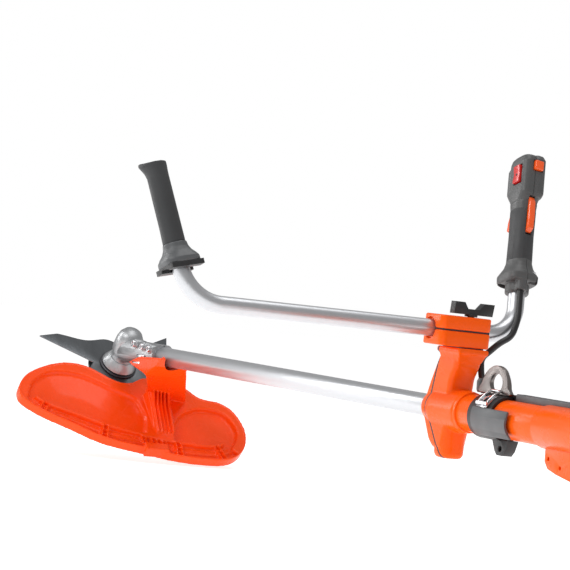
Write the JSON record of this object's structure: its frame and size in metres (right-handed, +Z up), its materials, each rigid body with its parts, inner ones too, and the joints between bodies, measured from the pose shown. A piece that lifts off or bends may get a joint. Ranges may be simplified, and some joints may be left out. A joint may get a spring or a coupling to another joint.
{
  "type": "brush cutter",
  "caption": "Brush cutter: toothed blade on an angled gear head, guard, long drive tube, offset handlebar with throttle handle, harness eye and engine on a stand.",
  "frame": {"origin": "centre of the whole machine's footprint box, on the floor that the engine stand and the guard's rear edge rest on", "axes": "+X along the drive tube towards the engine, +Y to the throttle handle's side, +Z up"},
  "size_m": [1.7824, 0.6892, 0.5616],
  "materials": {
    "cast_aluminium": "satin cast",
    "tube_aluminium": "polished drawn tube",
    "bright_fasteners": "zinc plated",
    "gear_steel": "ground",
    "bearing_steel": "ground",
    "dark_steel": "blackened",
    "blade_steel": "dark with ground edges",
    "eye_steel": "satin",
    "muffler_steel": "heat tinted",
    "orange_plastic": "glossy orange",
    "guard_plastic": "glossy orange-red",
    "trigger_plastic": "glossy orange",
    "switch_red": "glossy red",
    "black_plastic": "fine texture",
    "grey_plastic": "fine texture",
    "handle_plastic": "fine texture",
    "tank_plastic": "blow moulded",
    "grip_rubber": "ribbed",
    "cable_rubber": "smooth sleeve",
    "rubber_black": "smooth"
  },
  "bodies": {
    "root": {"gear_housing": "cast_aluminium", "gear_clamp_screws": "bright_fasteners", "head_bearings": "bearing_steel", "guard": "guard_plastic", "guard_bracket": "bright_fasteners", "guard_screws": "bright_fasteners", "shaft_tube": "tube_aluminium", "shaft_bushes": "rubber_black", "riser_front": "orange_plastic", "riser_rear": "orange_plastic", "riser_screws": "bright_fasteners", "housing_tube": "orange_plastic", "cable_cover": "grey_plastic", "throttle_cable_lower": "cable_rubber", "clutch_housing": "orange_plastic", "crankcase": "cast_aluminium", "cylinder": "cast_aluminium", "spark_plug": "black_plastic", "carburettor": "cast_aluminium", "filter_cover": "black_plastic", "muffler": "muffler_steel", "engine_cover": "orange_plastic", "starter_housing": "black_plastic", "fuel_tank": "tank_plastic", "engine_stand": "black_plastic"},
    "cutting_set": {"crown_gear": "gear_steel", "spindle": "gear_steel", "drive_flange": "dark_steel", "blade": "blade_steel", "glide_cup": "black_plastic", "blade_nut": "bright_fasteners"},
    "drive_line": {"pinion_gear": "gear_steel", "drive_shaft": "gear_steel", "clutch_drum": "dark_steel"},
    "crank_set": {"crankshaft": "gear_steel", "flywheel": "cast_aluminium", "clutch_shoes": "dark_steel"},
    "piston": {"piston": "bearing_steel"},
    "starter_handle": {"starter_handle": "black_plastic"},
    "fuel_cap": {"fuel_cap": "black_plastic"},
    "choke_lever": {"choke_lever": "trigger_plastic"},
    "wing_screw": {"wing_screw": "black_plastic"},
    "bar_clamp": {"lower_clamp": "orange_plastic", "upper_clamp": "orange_plastic", "throttle_cable_upper": "cable_rubber"},
    "handlebar": {"handlebar": "tube_aluminium", "left_grip": "grip_rubber", "left_grip_collar": "grip_rubber", "handle_shell_left": "handle_plastic", "handle_shell_right": "handle_plastic", "handle_screws": "bright_fasteners"},
    "throttle_trigger": {"throttle_trigger": "trigger_plastic"},
    "throttle_lock": {"throttle_lock": "trigger_plastic"},
    "stop_switch": {"stop_switch": "switch_red"},
    "start_button": {"start_button": "trigger_plastic"},
    "harness_fitting": {"eye_saddle": "black_plastic", "suspension_eye": "eye_steel", "clamp_cover": "grey_plastic"},
    "latch_plate": {"latch_plate": "bright_fasteners"},
    "eye_knob": {"eye_knob": "grey_plastic"}
  },
  "joints": [
    {"name": "blade_spin", "type": "hinge", "parent": "root", "child": "cutting_set", "pos_m": [-0.7957, 0.1441, 0.1872], "axis": [0.6428, 0, 0.766], "continuous": true},
    {"name": "drive_spin", "type": "hinge", "parent": "root", "child": "drive_line", "pos_m": [-0.7957, 0.1441, 0.1872], "axis": [1, 0, 0], "continuous": true},
    {"name": "crank_spin", "type": "hinge", "parent": "root", "child": "crank_set", "pos_m": [0.3423, 0.1441, 0.1872], "axis": [1, 0, 0], "continuous": true},
    {"name": "piston_stroke", "type": "slide", "parent": "root", "child": "piston", "axis": [0, 0, 1], "range_m": [-0.032, 0]},
    {"name": "starter_pull", "type": "slide", "parent": "root", "child": "starter_handle", "axis": [0.2588, 0, 0.9659], "range_m": [0, 0.6], "stiffness_N_per_m": 12, "springref_m": -0.1},
    {"name": "fuel_cap_turn", "type": "hinge", "parent": "root", "child": "fuel_cap", "pos_m": [0.8443, 0.0841, 0.0832], "axis": [0, -1, 0], "range_deg": [0, 360]},
    {"name": "choke_turn", "type": "hinge", "parent": "root", "child": "choke_lever", "pos_m": [0.7843, 0.2621, 0.2352], "axis": [0, 1, 0], "range_deg": [0, 60]},
    {"name": "wing_screw_turn", "type": "hinge", "parent": "root", "child": "wing_screw", "pos_m": [0.3623, 0.1421, 0.3172], "axis": [0, 0, 1], "range_deg": [0, 360]},
    {"name": "handlebar_swivel", "type": "hinge", "parent": "root", "child": "bar_clamp", "pos_m": [0.3623, 0.1421, 0.2752], "axis": [0, 0, 1], "range_deg": [-90, 0], "deforming": ["throttle_cable_lower"]},
    {"name": "handlebar_tilt", "type": "hinge", "parent": "bar_clamp", "child": "handlebar", "pos_m": [0.3423, 0.1441, 0.2979], "axis": [0, 1, 0], "range_deg": [-15, 20], "deforming": ["throttle_cable_upper"]},
    {"name": "trigger_squeeze", "type": "hinge", "parent": "handlebar", "child": "throttle_trigger", "pos_m": [0.2652, 0.26004, 0.48666], "axis": [-0.0494, -0.9871, 0.1521], "range_deg": [0, 18], "stiffness_Nm_per_rad": 0.4, "springref_deg": -17.19},
    {"name": "lock_press", "type": "hinge", "parent": "handlebar", "child": "throttle_lock", "pos_m": [0.30945, 0.25204, 0.44915], "axis": [-0.0494, -0.9871, 0.1521], "range_deg": [0, 7], "stiffness_Nm_per_rad": 0.5, "springref_deg": -11.46},
    {"name": "stop_rock", "type": "hinge", "parent": "handlebar", "child": "stop_switch", "pos_m": [0.27185, 0.25082, 0.52767], "axis": [0.9511, 0, 0.309], "range_deg": [-6, 6]},
    {"name": "start_press", "type": "slide", "parent": "handlebar", "child": "start_button", "axis": [-0.9511, 0, -0.309], "range_m": [0, 0.003], "stiffness_N_per_m": 600, "springref_m": -0.002},
    {"name": "harness_slide", "type": "slide", "parent": "root", "child": "harness_fitting", "axis": [1, 0, 0], "range_m": [-0.003, 0.007]},
    {"name": "latch_swing", "type": "hinge", "parent": "harness_fitting", "child": "latch_plate", "pos_m": [0.4593, 0.11494, 0.19988], "axis": [1, 0, 0], "range_deg": [0, 50]},
    {"name": "knob_turn", "type": "hinge", "parent": "harness_fitting", "child": "eye_knob", "pos_m": [0.3993, 0.1521, 0.2272], "axis": [0, 0, 1], "range_deg": [0, 360]}
  ],
  "couplings": [
    {"joint": "drive_spin", "follows": "blade_spin", "ratio": -1.4615}
  ]
}
